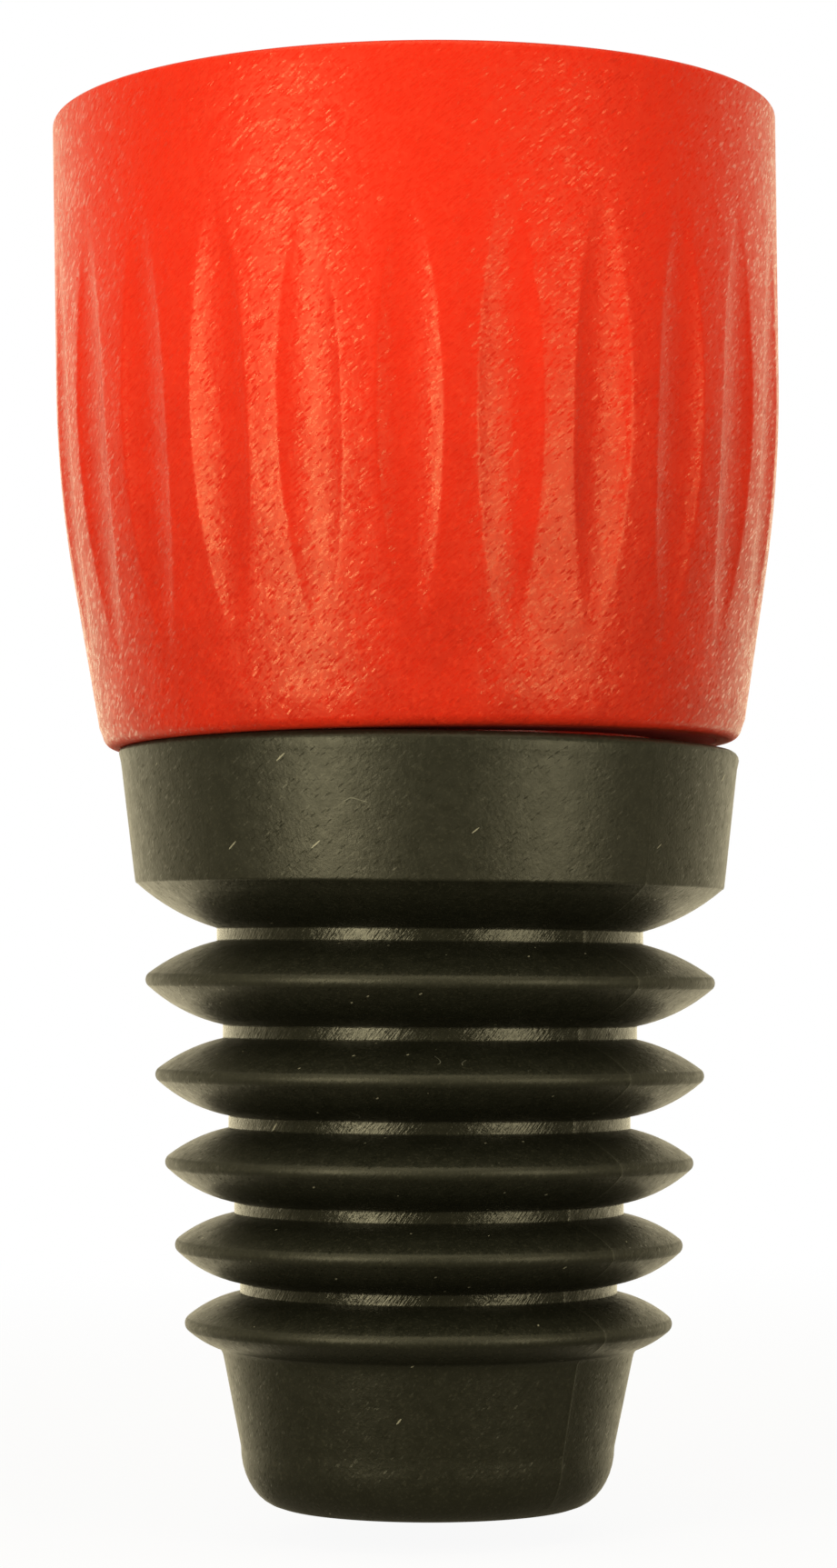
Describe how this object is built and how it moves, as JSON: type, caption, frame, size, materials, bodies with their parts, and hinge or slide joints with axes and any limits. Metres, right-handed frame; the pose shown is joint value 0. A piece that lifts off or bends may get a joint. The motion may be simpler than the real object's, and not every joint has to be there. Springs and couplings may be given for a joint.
{
  "type": "cable connector bushing",
  "caption": "Screw-on rear bushing of a round cable connector: a fluted grip with an internal thread, a ribbed boot that bends with the cable, and a chuck whose jaws grip the cable.",
  "frame": {"origin": "centre of the open mouth of the bushing, on its axis and in the plane of the mouth face", "axes": "+Z along the axis, out of the mouth and away from the boot; +X and +Y across the mouth, with the boot bending about Y"},
  "size_m": [0.019, 0.019, 0.0364],
  "materials": {
    "grip": "frosted, lightly spark-eroded orange-red moulding",
    "core": "hard orange-red moulding like the grip, smooth",
    "boot": "black soft moulding, satin on the collar and matte on the ribs",
    "chuck": "natural off-white acetal, smooth"
  },
  "bodies": {
    "bushing": {"grip_collar": "grip", "thread_core": "core", "boot_collar": "boot", "boot_bellows": "boot"},
    "boot_tail": {"boot_tail": "boot"},
    "chuck": {"chuck_ring": "chuck"},
    "jaw_1": {"chuck_jaw_1": "chuck"},
    "jaw_2": {"chuck_jaw_2": "chuck"},
    "jaw_3": {"chuck_jaw_3": "chuck"},
    "jaw_4": {"chuck_jaw_4": "chuck"},
    "jaw_5": {"chuck_jaw_5": "chuck"},
    "jaw_6": {"chuck_jaw_6": "chuck"}
  },
  "joints": [
    {"name": "boot_bend", "type": "hinge", "parent": "bushing", "child": "boot_tail", "pos_m": [0, 0, -0.0268], "axis": [0, 1, 0], "range_deg": [-30, 30], "stiffness_Nm_per_rad": 0.04, "deforming": ["boot_bellows"]},
    {"name": "chuck_slide", "type": "slide", "parent": "bushing", "child": "chuck", "axis": [0, 0, -1], "range_m": [0, 0.0026], "stiffness_N_per_m": 400},
    {"name": "jaw_1_close", "type": "hinge", "parent": "chuck", "child": "jaw_1", "pos_m": [0.0042, 0, -0.0107], "axis": [0, 1, 0], "range_deg": [0, 13]},
    {"name": "jaw_2_close", "type": "hinge", "parent": "chuck", "child": "jaw_2", "pos_m": [0.0021, 0.00364, -0.0107], "axis": [-0.866, 0.5, 0], "range_deg": [0, 13]},
    {"name": "jaw_3_close", "type": "hinge", "parent": "chuck", "child": "jaw_3", "pos_m": [-0.0021, 0.00364, -0.0107], "axis": [-0.866, -0.5, 0], "range_deg": [0, 13]},
    {"name": "jaw_4_close", "type": "hinge", "parent": "chuck", "child": "jaw_4", "pos_m": [-0.0042, 0, -0.0107], "axis": [0, -1, 0], "range_deg": [0, 13]},
    {"name": "jaw_5_close", "type": "hinge", "parent": "chuck", "child": "jaw_5", "pos_m": [-0.0021, -0.00364, -0.0107], "axis": [0.866, -0.5, 0], "range_deg": [0, 13]},
    {"name": "jaw_6_close", "type": "hinge", "parent": "chuck", "child": "jaw_6", "pos_m": [0.0021, -0.00364, -0.0107], "axis": [0.866, 0.5, 0], "range_deg": [0, 13]}
  ],
  "couplings": [
    {"joint": "jaw_1_close", "follows": "chuck_slide", "rad_per_m": 87.2},
    {"joint": "jaw_2_close", "follows": "chuck_slide", "rad_per_m": 87.2},
    {"joint": "jaw_3_close", "follows": "chuck_slide", "rad_per_m": 87.2},
    {"joint": "jaw_4_close", "follows": "chuck_slide", "rad_per_m": 87.2},
    {"joint": "jaw_5_close", "follows": "chuck_slide", "rad_per_m": 87.2},
    {"joint": "jaw_6_close", "follows": "chuck_slide", "rad_per_m": 87.2}
  ]
}
